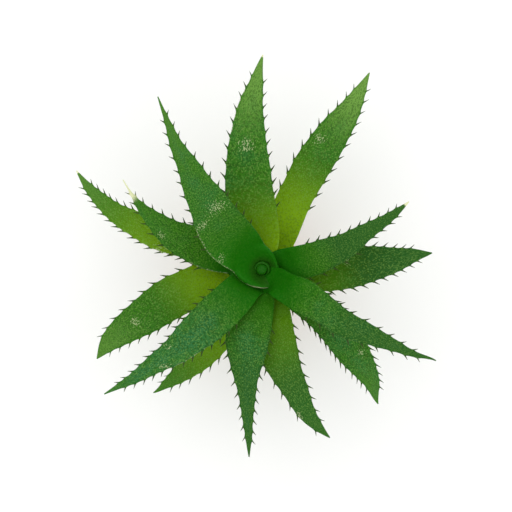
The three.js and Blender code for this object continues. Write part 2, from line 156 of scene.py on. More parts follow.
class SucculentLeafSettings(bpy.types.PropertyGroup):
    """Sizes and colours of the leaves."""

    stations: IntProperty(
        name="Stations", description="Rings of points along one leaf", default=120, min=20)
    ring_points: IntProperty(
        name="Ring points", description="Points round one leaf", default=32, min=12)
    thorn_width: length_setting("Thorn width", "Width of a thorn just above its foot", 1.4)
    margin_swell: length_setting("Margin swell", "How far the margin swells out under a thorn", 0.6)
    rib_depth: length_setting("Rib depth", "Depth of the fine ribs that run along the blade", 0.07)
    green: colour_setting("Green", "Skin half way along a leaf", "#34700e")
    deep: colour_setting("Deep green", "Grains of deeper green in the skin", "#164804")
    # Painted shade: the heart green on the upper leaves near the heart and the young green of the rolled
    # heart leaves stand in for the shade in the middle of the rosette.
    shaded: colour_setting("Heart green", "Skin of the upper leaves near the heart", "#106c02")
    young_shaded: colour_setting("Young green", "Skin of the rolled leaves in the heart", "#0c5f00")
    # This green also paints a thin line of shade along the margins of every blade.
    tip: colour_setting("Tip green", "Skin of the outer part of the darker leaves", "#1d4e1c")
    lime: colour_setting("Lime", "Skin near the seat of the lower leaves", "#90bb0a")
    # This colour also paints the sheen down the middle of the upper leaves.
    bloom: colour_setting("Wax bloom", "Blue-green wax on the upper leaves", "#2d6c38")
    pale: colour_setting("Pale green", "Skin near the tips of the outer leaves", "#7aa64a")
    cream: colour_setting("Cream", "Dry tips, margins and healed scuffs", "#dfe2b4")
    under: colour_setting("Underside", "Skin of the lower face", "#4d8038")
    thorn: colour_setting("Thorn", "Horny thorns", "#35481c")


class SucculentPotSettings(bpy.types.PropertyGroup):
    """Sizes and colours of the pot."""

    wall: length_setting("Wall", "Thickness of the wall", 4)
    floor: length_setting("Floor", "Thickness of the floor", 5)
    collar_height: length_setting("Collar height", "Height of the collar round the mouth", 17)
    collar_step: length_setting("Collar step", "How far the collar stands out", 2.4)
    ease: length_setting("Eased edge", "Radius of the worn edges", 1.2)
    drain_radius: length_setting("Drain radius", "Radius of a drainage hole", 4.5)
    drain_ring: length_setting("Drain ring", "Distance of the holes from the axis", 16)
    drain_count: IntProperty(name="Drains", description="Number of drainage holes", default=3, min=0)
    clay: colour_setting("Clay", "Fired clay", "#b06a48")
    lime_stain: colour_setting("Lime stain", "Lime that water left on the clay", "#dcc3ab")
    damp: colour_setting("Damp", "Darker clay where water stays", "#84482f")


class SucculentMixSettings(bpy.types.PropertyGroup):
    """Sizes and colours of the potting mix."""

    crumbs: IntProperty(name="Crumbs", description="Loose pieces of each kind", default=90, min=0)
    peat: colour_setting("Peat", "Damp fibrous peat", "#2b1f16")
    bark: colour_setting("Bark", "Chips of composted bark", "#5b3a22")
    grit: colour_setting("Grit", "Grey and buff grit", "#8d8271")
    perlite: colour_setting("Perlite", "White expanded grains", "#e9e6dc")


class SucculentStudioSettings(bpy.types.PropertyGroup):
    """The floor, lights and camera."""

    camera_height: length_setting("Camera height", "Height of the camera above the floor", 1320)
    subject_height: length_setting("Subject height", "Height of the rosette's middle", 120)
    field_width: length_setting("Field width", "Width of the view at the rosette", 409.6)
    camera_aside: length_setting("Camera aside", "Distance of the camera right of the middle", 3)
    floor_size: length_setting("Floor size", "Width of the floor", 9000)
    world_light: FloatProperty(
        name="Room light", description="Strength of the even light of the room", default=1.0, min=0)
    key_power: FloatProperty(
        name="Key power", description="Power of the large soft light", subtype="POWER", unit="POWER",
        default=4, min=0)
    floor_shade: colour_setting("Floor", "Matt pale floor", "#fbfbfa")


SETTINGS = {
    "succulent_leaves": SucculentLeafSettings,
    "succulent_pot": SucculentPotSettings,
    "succulent_mix": SucculentMixSettings,
    "succulent_studio": SucculentStudioSettings,
}


# ---- numbers -------------------------------------------------------------------------------------

def unit(vectors):
    return vectors / np.linalg.norm(vectors, axis=-1, keepdims=True)


def smooth_step(low, high, values):
    share = np.clip((np.asarray(values, float) - low) / (high - low), 0, 1)
    return share * share * (3 - 2 * share)


def wander(values, period, seed):
    """A smooth, repeatable wandering between about -1 and 1, with waves near the period."""
    phases = np.random.default_rng(seed).uniform(0, 2 * math.pi, 4)
    stretches = (1.0, 0.62, 1.57, 0.41)
    waves = [np.sin(2 * math.pi * values / (period * k) + p) for k, p in zip(stretches, phases)]
    return sum(waves) / len(waves)


def relax(values, rounds):
    """Smooths a run of numbers or points and keeps its ends."""
    values = np.array(values, float)
    for _ in range(rounds):
        values[1:-1] = (values[:-2] + 2 * values[1:-1] + values[2:]) / 4
    return values


def respace(line, count):
    """The same line with evenly spaced points."""
    arc = np.append(0, np.cumsum(np.linalg.norm(np.diff(line, axis=0), axis=1)))
    places = np.linspace(0, arc[-1], count)
    return np.column_stack([np.interp(places, arc, line[:, k]) for k in range(3)])


# ---- meshes --------------------------------------------------------------------------------------

Shell = namedtuple("Shell", "points faces fields")


def lofted(rings, fields):
    """A closed skin over rings of points, an array of rings x points x 3. Each field is rings x points."""
    count, around = rings.shape[:2]
    faces = []
    for low in range(0, (count - 1) * around, around):
        high = low + around
        for j in range(around):
            after = (j + 1) % around
            faces.append((low + j, low + after, high + after, high + j))
    # Each end is closed by strips between the two halves of its ring.
    for start in (0, (count - 1) * around):
        for j in range(around // 2):
            corners = [start + k % around for k in (j, j + 1, around - j - 1, around - j)]
            faces.append(tuple(dict.fromkeys(corners)))
    flat = {name: values.reshape((-1,) + values.shape[2:]) for name, values in fields.items()}
    return Shell(rings.reshape(-1, 3), faces, flat)


def add_piece(name, shells, material, stands_for=()):
    """One object made of closed skins, riding on the frame's body."""
    start = 0
    points, faces = [], []
    for shell in shells:
        points.append(shell.points)
        faces.extend([tuple(int(v) + start for v in face) for face in shell.faces])
        start += len(shell.points)
    mesh = bpy.data.meshes.new(name)
    mesh.from_pydata(np.concatenate(points).tolist(), [], faces)
    for field in shells[0].fields:
        values = np.concatenate([shell.fields[field] for shell in shells]).astype(np.float32)
        kind = "FLOAT" if values.ndim == 1 else "FLOAT_VECTOR"
        made = mesh.attributes.new(field, kind, "POINT")
        made.data.foreach_set("value" if values.ndim == 1 else "vector", values.ravel())
    tidy = bmesh.new()
    tidy.from_mesh(mesh)
    bmesh.ops.recalc_face_normals(tidy, faces=tidy.faces)
    tidy.to_mesh(mesh)
    tidy.free()
    mesh.shade_smooth()
    mesh.materials.append(material)
    piece = bpy.data.objects.new(name, mesh)
    bpy.context.scene.collection.objects.link(piece)
    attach(piece, "root")
    if stands_for:
        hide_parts(*stands_for)
    return piece


def turned(profile, around, centre=(0, 0)):
    """Rings of points turned round an upright axis from (radius, height) pairs, and their angles."""
    angles = np.linspace(0, 2 * math.pi, around, endpoint=False)
    rows = np.array(profile)
    rings = np.stack([
        centre[0] + rows[:, :1] * np.cos(angles),
        centre[1] + rows[:, :1] * np.sin(angles),
        np.repeat(rows[:, 1:], around, axis=1),
    ], axis=2)
    return rings, angles


def eased(corners, radius, steps=5):
    """A profile with each corner between its ends rounded: a short bend takes the corner's place."""
    rows = [corners[0]]
    for before, corner, after in zip(corners, corners[1:], corners[2:]):
        corner, before, after = (np.array(p, float) for p in (corner, before, after))
        reach = min(radius, np.linalg.norm(before - corner) / 2, np.linalg.norm(after - corner) / 2)
        start = corner + unit(before - corner) * reach
        end = corner + unit(after - corner) * reach
        for share in np.linspace(0, 1, steps):
            rows.append((1 - share) ** 2 * start + 2 * share * (1 - share) * corner + share ** 2 * end)
    rows.append(corners[-1])
    return [tuple(row) for row in rows]


def filled(profile, spacing):
    """A profile with points added, so that no step is longer than the spacing."""
    rows = [profile[0]]
    for start, end in zip(profile, profile[1:]):
        length = math.dist(start, end)
        steps = max(1, math.ceil(length / spacing))
        for i in range(1, steps + 1):
            share = i / steps
            rows.append(tuple(a + (b - a) * share for a, b in zip(start, end)))
    return rows


# ---- measuring a leaf of the frame ---------------------------------------------------------------

Leaf = namedtuple("Leaf", "line width thickness gutter thorns")
Section = namedtuple("Section", "middle width thickness gutter")

SECTION_REACH = 30 * MM                 # a cut farther than this from the middle line is not this blade
EDGE_BAND = 0.6 * MM                    # points this near an outermost one count as being there
TIP_SIZE = 0.8 * MM
SEAT_STATIONS = 3                       # the first stations lie in the cut end of the seat
TIP_AGREEMENT = 0.9                     # 1 where all edges at a point run the same way
LEAST_THORN = 2 * MM


def merged_mesh(node):
    """Points and triangles of a node, with points at the same place made one."""
    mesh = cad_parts[node].data
    mesh.calc_loop_triangles()
    points = np.zeros(len(mesh.vertices) * 3)
    mesh.vertices.foreach_get("co", points)
    triangles = np.zeros(len(mesh.loop_triangles) * 3, int)
    mesh.loop_triangles.foreach_get("vertices", triangles)
    keys, places = np.unique(np.round(points.reshape(-1, 3), 6), axis=0, return_inverse=True)
    return keys, places.reshape(-1)[triangles].reshape(-1, 3)


def find_thorns(points, triangles):
    """A mask of the points that are thorn tips, and the middle of each point's neighbours."""
    pairs = np.vstack([triangles[:, [0, 1]], triangles[:, [1, 2]], triangles[:, [2, 0]]])
    pairs = np.unique(np.sort(pairs, axis=1), axis=0)
    pairs = np.vstack([pairs, pairs[:, ::-1]])
    steps = points[pairs[:, 1]] - points[pairs[:, 0]]
    lengths = np.linalg.norm(steps, axis=1)
    directions = steps / lengths[:, None]

    def mean_of(values):
        totals = np.bincount(pairs[:, 0], values, len(points))
        return totals / np.bincount(pairs[:, 0], minlength=len(points))

    pointed = np.column_stack([mean_of(directions[:, k]) for k in range(3)])
    feet = np.column_stack([mean_of(points[pairs[:, 1], k]) for k in range(3)])
    # A tip's edges all run nearly the same way.
    is_tip = (np.linalg.norm(pointed, axis=1) > TIP_AGREEMENT) & (mean_of(lengths) > LEAST_THORN)
    return is_tip, feet


def cut_at(points, triangles, origin, normal):
    """Both ends of each line that a plane cuts a mesh in."""
    heights = ((points - origin) @ normal)[triangles]
    above = heights > 0
    crossed = above.any(axis=1) & ~above.all(axis=1)
    corners = triangles[crossed]
    heights = heights[crossed]
    above = above[crossed]
    starts = np.zeros((len(corners), 3))
    ends = np.zeros((len(corners), 3))
    found = np.zeros(len(corners), int)
    for i, j in ((0, 1), (1, 2), (2, 0)):
        cuts = above[:, i] != above[:, j]
        span = np.where(cuts, heights[:, i] - heights[:, j], 1)
        share = (heights[:, i] / span)[:, None]
        places = points[corners[:, i]] * (1 - share) + points[corners[:, j]] * share
        starts[cuts & (found == 0)] = places[cuts & (found == 0)]
        ends[cuts & (found == 1)] = places[cuts & (found == 1)]
        found += cuts
    return starts, ends


def measure_section(points, triangles, origin, ahead):
    """Cuts a blade across its middle line: where its middle is, and its width, thickness and gutter."""
    side = unit(np.array([-ahead[1], ahead[0], 0]))
    face = np.cross(ahead, side)
    starts, ends = cut_at(points, triangles, origin, ahead)
    across = np.column_stack([(starts - origin) @ side, (ends - origin) @ side])
    raised = np.column_stack([(starts - origin) @ face, (ends - origin) @ face])
    close = np.maximum(np.abs(across).max(axis=1), np.abs(raised).max(axis=1)) < SECTION_REACH
    across, raised = across[close], raised[close]
    if len(across) < 6:
        return None
    low, high = across.min(), across.max()
    middle = (low + high) / 2
    over = (across.min(axis=1) <= middle) & (across.max(axis=1) >= middle)
    over &= np.abs(across[:, 0] - across[:, 1]) > 1e-9
    if over.sum() < 2:
        return None
    share = (middle - across[over, 0]) / (across[over, 1] - across[over, 0])
    heights = raised[over, 0] + (raised[over, 1] - raised[over, 0]) * share
    centre = (heights.min() + heights.max()) / 2
    at_margin = (across < low + EDGE_BAND) | (across > high - EDGE_BAND)
    gutter = raised[at_margin].mean() - centre
    return Section(origin + side * middle + face * centre, high - low, np.ptp(heights), gutter)


def measure_leaf(node, stations=30, rounds=7):
    """Finds the middle line of a leaf, and its width, thickness and gutter depth along it."""
    points, triangles = merged_mesh(node)
    is_tip, feet = find_thorns(points, triangles)
    blade = triangles[~is_tip[triangles].any(axis=1)]
    used = points[np.unique(blade)]
    far = np.hypot(used[:, 0] - HEART.x, used[:, 1] - HEART.y)
    tip = used[far > far.max() - EDGE_BAND].mean(axis=0)
    seat = used[far < np.percentile(far, 4)].mean(axis=0)
    line = seat + (tip - seat) * np.linspace(0, 1, stations)[:, None]
    sections = {}
    for _ in range(rounds):
        line = respace(line, stations)
        ahead = unit(np.gradient(line, axis=0))
        found = {i: measure_section(points, blade, line[i], ahead[i]) for i in range(1, stations - 1)}
        sections = {i: section for i, section in found.items() if section}
        moved = line.copy()
        for i, section in sections.items():
            moved[i] = section.middle
        moved[-1] = tip
        line = relax(moved, 1)

    trusted = [i for i in sorted(sections) if i >= SEAT_STATIONS]
    places = np.arange(stations)
    width, thickness, gutter = (
        np.interp(places, trusted, [getattr(sections[i], name) for i in trusted])
        for name in ("width", "thickness", "gutter"))
    width[-1] = TIP_SIZE
    thickness[-1] = TIP_SIZE
    gutter[-1] = 0
    return Leaf(line, width, thickness, gutter, list(zip(feet[is_tip], points[is_tip])))


# ---- materials -----------------------------------------------------------------------------------

def add_node(tree, kind, settings=None, values=None, links=None):
    """Adds a shader node, sets its own settings and its sockets' values, and links its sockets."""
    made = tree.nodes.new("ShaderNode" + kind)
    for name, value in (settings or {}).items():
        setattr(made, name, value)
    for socket, value in (values or {}).items():
        made.inputs[socket].default_value = value
    for socket, source in (links or {}).items():
        tree.links.new(source, made.inputs[socket])
    return made


def new_material(name):
    """An empty material with its node tree and its surface shader."""
    material = bpy.data.materials.new(name)
    material.use_nodes = True
    tree = material.node_tree
    tree.nodes.clear()
    shader = add_node(tree, "BsdfPrincipled")
    add_node(tree, "OutputMaterial", links={"Surface": shader.outputs["BSDF"]})
    return material, tree, shader


def opaque(colour):
    return (*colour, 1)


def paint(tree, shader, ground, coats):
    """Paints the shader's surface in coats over a ground colour. Each coat is a factor and its colour."""
    shade = None
    for factor, colour in coats:
        values = {7: opaque(colour)}
        links = {0: factor}
        if shade is None:
            values[6] = opaque(ground)
        else:
            links[6] = shade
        shade = add_node(tree, "Mix", {"data_type": "RGBA"}, values, links).outputs[2]
    tree.links.new(shade, shader.inputs["Base Color"])


def leaf_cuticle(name, shaded_green):
    """Living succulent skin: a thin waxy cuticle, grown, never worked.

    It gives the eye grainy green under a faint satin wax, lime where the leaf was shaded by its
    neighbours, blue where the wax is whole, and cream where the skin is dry or healed. It also has
    light and shade painted in: a bluer sheen down the middle of each blade, a deeper green near the
    heart where shade falls, and a thin dark line of shade along the margins.
    """
    look = bpy.context.scene.succulent_leaves
    material, tree, shader = new_material(name)
    fields = {}
    for field in ("tone", "marks", "spot"):
        read = add_node(tree, "Attribute", {"attribute_name": field})
        split = add_node(tree, "SeparateXYZ", links={0: read.outputs["Vector"]})
        fields[field] = split.outputs
    run = add_node(tree, "Attribute", {"attribute_name": "run"}).outputs["Vector"]

    # Each texture: its size across the blade in mm, how much it is drawn out along it, and how fine it
    # breaks up. Skin cells are 0.05 mm across, too fine to show: the grain is drawn at 1.5 mm. Pale
    # flecks of broken wax are 0.85 mm wide and 1.4 mm long. Patches of thicker and thinner wax are
    # about 16 mm across. Veins lie 1.4 mm apart and run the length of the blade.
    textures = []
    for size, squeeze, detail, roughness in [
        (1.5, 1, 1, 0.5), (0.85, 0.6, 1, 0.4), (16, 1, 2.5, 0.5), (1.4, 0.05, 2, 0.5),
    ]:
        drawn_out = add_node(tree, "Mapping", None, {"Scale": (1, squeeze, 1)}, {"Vector": run})
        texture = add_node(
            tree, "TexNoise", None,
            {"Scale": 1 / (size * MM), "Detail": detail, "Roughness": roughness},
            {"Vector": drawn_out.outputs[0]})
        textures.append(texture.outputs["Fac"])
    grain, flecks, patches, veins = textures
    lime, wax, pale = (fields["tone"][k] for k in range(3))
    cream, thorn, scuff = (fields["marks"][k] for k in range(3))
    under, margin, shaded = (fields["spot"][k] for k in range(3))

    # Each coat: what drives it, the texture that breaks it up and by how much, the limits it spreads
    # between, the most it covers, and its colour.
    coats = [
        # Blue wax bloom, with the painted sheen down the middle of each blade.
        (wax, patches, 1.0, 0.5, 1.5, 1.0, look.bloom),
        (pale, grain, 0.8, 0.5, 1.5, 0.95, look.pale),
        # Dark tips, and the painted shade along the margins.
        (pale, patches, 0.2, 0.0, -1.0, 0.75, look.tip),
        (None, grain, 1.0, 0.46, 0.6, 0.5, look.deep),
        (lime, grain, 0.6, 0.35, 1.5, 0.92, look.lime),
        (None, grain, 1.0, 0.47, 0.62, 0.34, look.deep),
        (None, flecks, 1.0, 0.5, 0.68, 0.38, look.pale),
        (None, veins, 1.0, 0.6, 0.78, 0.1, look.pale),
        # Painted shade: a deeper green near the heart.
        (shaded, grain, 0.6, 0.35, 1.4, 0.85, shaded_green),
        (under, grain, 0.3, 0.3, 1.0, 0.7, look.under),
        (margin, grain, 1.4, 1.4, 2.4, 0.85, look.cream),
        (scuff, flecks, 2.4, 2.0, 2.5, 0.4, look.cream),
        (cream, grain, 0.4, 0.5, 0.95, 1.0, look.cream),
        (thorn, grain, 0.1, 0.05, 0.9, 0.95, look.thorn),
    ]
    laid = []
    for driver, texture, weight, low, high, most, colour in coats:
        broken = add_node(
            tree, "Math", {"operation": "MULTIPLY_ADD"}, {1: weight, 2: 0.0},
            {0: texture} if driver is None else {0: texture, 2: driver})
        spread = add_node(
            tree, "MapRange", {"interpolation_type": "SMOOTHSTEP"},
            {"From Min": low, "From Max": high, "To Max": most}, {"Value": broken.outputs[0]})
        laid.append((spread.outputs[0], colour))
    paint(tree, shader, look.green, laid)
    rough = add_node(
        tree, "MapRange", None, {"From Min": 0.3, "From Max": 0.7, "To Min": 0.42, "To Max": 0.56},
        {"Value": patches})
    tree.links.new(rough.outputs[0], shader.inputs["Roughness"])
    shader.inputs["IOR"].default_value = 1.45
    shader.inputs["Specular IOR Level"].default_value = 0.12
    relief = add_node(
        tree, "Bump", None, {"Strength": 0.35, "Distance": 0.12 * MM}, {"Height": grain})
    ribs = add_node(
        tree, "Bump", None, {"Strength": 0.4, "Distance": 0.2 * MM},
        {"Height": veins, "Normal": relief.outputs[0]})
    tree.links.new(ribs.outputs[0], shader.inputs["Normal"])
    return material


def fired_clay():
    """Terracotta, thrown or pressed on a wheel and fired unglazed.

    It gives the eye a dry orange-brown body with fine grit, faint wheel lines, white lime where
    water dried and darker clay near the ground.
    """
    look = bpy.context.scene.succulent_pot
    material, tree, shader = new_material("terracotta_fired_unglazed")
    place = add_node(tree, "TexCoord").outputs["Object"]
    worn = add_node(tree, "Attribute", {"attribute_name": "worn"}).outputs["Fac"]
    height = add_node(tree, "SeparateXYZ", links={0: place}).outputs["Z"]
    # Grit in common clay is under 0.5 mm: it is drawn at 0.8 mm.
    grit = add_node(
        tree, "TexNoise", None, {"Scale": 1 / (0.8 * MM), "Detail": 2}, {"Vector": place}).outputs["Fac"]
    clouds = add_node(
        tree, "TexNoise", None, {"Scale": 1 / (22 * MM), "Detail": 5, "Roughness": 0.62},
        {"Vector": place}).outputs["Fac"]
    # Wheel lines: rings about 6 mm apart, shaken a little.
    lines = add_node(
        tree, "TexWave", {"wave_type": "BANDS", "bands_direction": "Z"},
        {"Scale": 0.05 / MM, "Distortion": 1.5, "Detail": 2, "Detail Scale": 1.2},
        {"Vector": place}).outputs["Fac"]
    stain = add_node(
        tree, "MapRange", {"interpolation_type": "SMOOTHSTEP"}, {"From Min": 0.48, "From Max": 0.85},
        {"Value": clouds})
    low = add_node(
        tree, "MapRange", {"interpolation_type": "SMOOTHSTEP"},
        {"From Min": 0.0, "From Max": 26 * MM, "To Min": 0.75, "To Max": 0.0}, {"Value": height})
    damp = add_node(
        tree, "Math", {"operation": "MULTIPLY"}, None, {0: low.outputs[0], 1: clouds})
    speck = add_node(
        tree, "MapRange", None, {"From Min": 0.56, "From Max": 0.75, "To Max": 0.45}, {"Value": grit})
    thin_stain = add_node(tree, "Math", {"operation": "MULTIPLY"}, {1: 0.7}, {0: stain.outputs[0]})
    thin_worn = add_node(tree, "Math", {"operation": "MULTIPLY"}, {1: 0.45}, {0: worn})
    paint(tree, shader, look.clay, [
        (damp.outputs[0], look.damp),
        (thin_stain.outputs[0], look.lime_stain),
        (speck.outputs[0], look.damp),
        (thin_worn.outputs[0], look.lime_stain),
    ])
    rough = add_node(
        tree, "MapRange", None, {"To Min": 0.78, "To Max": 0.95}, {"Value": clouds})
    tree.links.new(rough.outputs[0], shader.inputs["Roughness"])
    shader.inputs["IOR"].default_value = 1.5
    shader.inputs["Specular IOR Level"].default_value = 0.25
    fine = add_node(tree, "Bump", None, {"Strength": 0.5, "Distance": 0.2 * MM}, {"Height": grit})
    rings = add_node(
        tree, "Bump", None, {"Strength": 0.35, "Distance": 0.25 * MM},
        {"Height": lines, "Normal": fine.outputs[0]})
    tree.links.new(rings.outputs[0], shader.inputs["Normal"])
    return material


def loose_matter(name, ground, light, grain_size, roughness):
    """A dry granular or fibrous matter: two colours broken up at the size of its grains.

    It gives the eye a dull, rough surface with lighter grains and darker drifts.
    """
    material, tree, shader = new_material(name)
    place = add_node(tree, "TexCoord").outputs["Object"]
    grains = add_node(
        tree, "TexNoise", None, {"Scale": 1 / grain_size, "Detail": 4, "Roughness": 0.7},
        {"Vector": place}).outputs["Fac"]
    drifts = add_node(
        tree, "TexNoise", None, {"Scale": 1 / (grain_size * 9), "Detail": 2},
        {"Vector": place}).outputs["Fac"]
    lights = add_node(
        tree, "MapRange", None, {"From Min": 0.45, "From Max": 0.72, "To Max": 0.8}, {"Value": grains})
    darks = add_node(
        tree, "MapRange", None, {"From Min": 0.45, "From Max": 0.65, "To Max": 0.5}, {"Value": drifts})
    dark = tuple(part * 0.45 for part in ground)
    paint(tree, shader, ground, [(lights.outputs[0], light), (darks.outputs[0], dark)])
    shader.inputs["Roughness"].default_value = roughness
    shader.inputs["Specular IOR Level"].default_value = 0.2
    bump = add_node(
        tree, "Bump", None, {"Strength": 0.6, "Distance": grain_size / 2}, {"Height": grains})
    tree.links.new(bump.outputs[0], shader.inputs["Normal"])
    return material


def stem_rind():
    """The old stem: green flesh under a corky rind, ringed by the scars of shed leaves.

    It gives the eye dull olive and straw in fine upright fibres.
    """
    material, tree, shader = new_material("stem_rind_corky")
    place = add_node(tree, "TexCoord").outputs["Object"]
    # Fibres are about 0.7 mm apart and ten times as long.
    stretched = add_node(tree, "Mapping", None, {"Scale": (1, 1, 0.1)}, {"Vector": place})
    fibres = add_node(
        tree, "TexNoise", None, {"Scale": 1 / (0.7 * MM), "Detail": 3},
        {"Vector": stretched.outputs[0]}).outputs["Fac"]
    scars = add_node(tree, "Attribute", {"attribute_name": "worn"}).outputs["Fac"]
    straw = add_node(
        tree, "MapRange", None, {"From Min": 0.42, "From Max": 0.68}, {"Value": fibres})
    paint(tree, shader, linear("#7d8a34"), [
        (straw.outputs[0], linear("#b3a25a")),
        (scars, linear("#6b4f2c")),
    ])
    shader.inputs["Roughness"].default_value = 0.7
    shader.inputs["Specular IOR Level"].default_value = 0.25
    bump = add_node(tree, "Bump", None, {"Strength": 0.6, "Distance": 0.3 * MM}, {"Height": fibres})
    tree.links.new(bump.outputs[0], shader.inputs["Normal"])
    return material


# ---- leaves --------------------------------------------------------------------------------------

def ring_places(points_around):
    """Places round a blade's section: across from -1 to 1, and 1 on the upper face or -1 below."""
    turn = np.linspace(0, 2 * math.pi, points_around, endpoint=False)
    return np.cos(turn), np.sign(np.round(np.sin(turn), 9))


def folded(values):
    """Values across a blade, from its left margin to its right one, laid round its section."""
    return np.concatenate([values, values[:, -2:0:-1]], axis=1)


def line_axes(line):
    """The blade's axes along its middle line: ahead, out to its left, and up through it."""
    ahead = unit(np.gradient(line, axis=0))
    side = unit(np.column_stack([-ahead[:, 1], ahead[:, 0], np.zeros(len(line))]))
    return ahead, side, np.cross(ahead, side)


def leaf_fields(habit, along, across, upper, length, seed):
    """What the skin's material reads at each point of a leaf."""
    lime = habit.lime * (1 - smooth_step(habit.reach - 0.36, habit.reach + 0.3, along))
    wax = habit.wax * smooth_step(0.2, 0.5, along) * (1 - 0.35 * smooth_step(0.8, 1.0, along))
    # Painted sheen: the bloom is stronger down the middle of the blade and weaker at its margins, a light
    # band where the skin would reflect.
    wax = wax * (0.75 + 0.5 * np.exp(-(across / 0.4) ** 2))
    pale = habit.pale * smooth_step(0.45, 0.95, along) - habit.dark * smooth_step(0.3, 0.7, along)
    # Painted shade: every blade darkens in a thin band along both margins.
    pale = pale - 0.5 * smooth_step(0.85, 1.0, np.abs(across))
    dry = habit.cream * MM / length
    cream = smooth_step(1 - dry * 1.3, 1 - dry * 0.3, along) if dry else along * 0
    scuff = along * 0
    for place, hand, size in habit.scuffs:
        far = np.hypot((along - place) * length, (across - hand) * 12 * MM) / (size * MM)
        scuff = scuff + np.exp(-far ** 2)
    margin = along * 0
    for hand, start, end, breadth in habit.rims:
        run = smooth_step(start, start + 0.03, along) * (1 - smooth_step(end - 0.08, end, along))
        margin = margin + run * smooth_step(1 - breadth, 1.0, across * hand)
    under = np.clip(-upper, 0, 1)
    # Painted shade: the upper leaves turn a deeper green towards the heart, where shade falls in the middle
    # of the rosette.
    shade = (1 - smooth_step(0.1, 0.5, along)) * (1 - habit.lime)
    none = along * 0
    return {
        "tone": np.stack([lime, wax, pale], axis=-1),
        "marks": np.stack([cream, none, np.clip(scuff, 0, 1)], axis=-1),
        "spot": np.stack([under, margin, shade], axis=-1),
        "run": np.stack([across * 14 * MM, along * length, none + seed * 0.37], axis=-1),
    }


Blade = namedtuple("Blade", "middle normal ahead length")
MARGIN_SHARE = 0.34                     # a blade's thickness at the margin, next to its middle
RIB_SPACING = 2.6 * MM


def heart_rim(degrees):
    """How far out and how high the rim of the heart's cup is in a direction."""
    rows = np.array(SHEATH_RIM, float)
    rows = np.vstack([rows[-1] - (360, 0, 0), rows, rows[0] + (360, 0, 0)])
    wheel = np.arange(-360.0, 720.0, 3.0)
    out, up = (np.interp(wheel % 360, rows[:, 0], rows[:, k]) for k in (1, 2))
    out, up = relax(out, 12), relax(up, 12)
    return np.interp(degrees, wheel, out) * MM, np.interp(degrees, wheel, up) * MM


def sheathed(middle, fine, across):
    """The youngest full leaf's middle surface, with its seat wrapped round the heart as a cup."""
    last = int(np.argmin(np.abs(fine - SHEATH_SHARE)))
    share = np.clip(fine / fine[last], 0, 1)[:last + 1, None]
    flat = middle[last, :, :2] - np.array(HEART[:2])
    reach = np.linalg.norm(flat, axis=1)
    turn = np.degrees(np.arctan2(flat[:, 1], flat[:, 0]))
    heading = turn[len(across) // 2]
    turn = (turn - heading + 180) % 360 - 180
    turned_by = smooth_step(0.08, 1, share)
    direction = heading + across * SHEATH_WRAP * (1 - turned_by) + turn * turned_by
    rim_out, rim_up = heart_rim(direction)

    # The cup's floor under the heart, the tube round it, then the way from its mouth to the blade.
    foot = (OUTER_HIGH.x - OUTER_LOW.x) / 2 - SHEATH_CLASP
    foot = foot * (0.35 + 0.65 * np.clip(share / 0.04, 0, 1))
    tube = np.clip(share / SHEATH_TUBE, 0, 1)
    open_by = np.clip((share - SHEATH_TUBE) / (1 - SHEATH_TUBE), 0, 1)
    mouth_out = foot + 0.5 * MM * tube
    mouth_up = np.clip(rim_up - 4 * MM, 3.5 * MM, 9 * MM) * tube + SHEATH_FLOOR * (1 - tube)
    out = mouth_out + (reach - mouth_out) * open_by
    up = mouth_up + (middle[last, :, 2] - STEM_HIGH.z - mouth_up) * open_by ** 0.9

    # The two margins follow the rim.
    held = np.abs(across) ** 4 * smooth_step(0, 0.2, share) * (1 - smooth_step(0.8, 1, share))
    out = out * (1 - held) + rim_out * held
    up = up * (1 - held) + rim_up * held
    angle = np.radians(direction)
    middle = middle.copy()
    middle[:last + 1, :, 0] = HEART.x + out * np.cos(angle)
    middle[:last + 1, :, 1] = HEART.y + out * np.sin(angle)
    middle[:last + 1, :, 2] = STEM_HIGH.z + up
    eased_to = last * 2
    middle[:eased_to] = relax(middle[:eased_to], 5)
    return middle


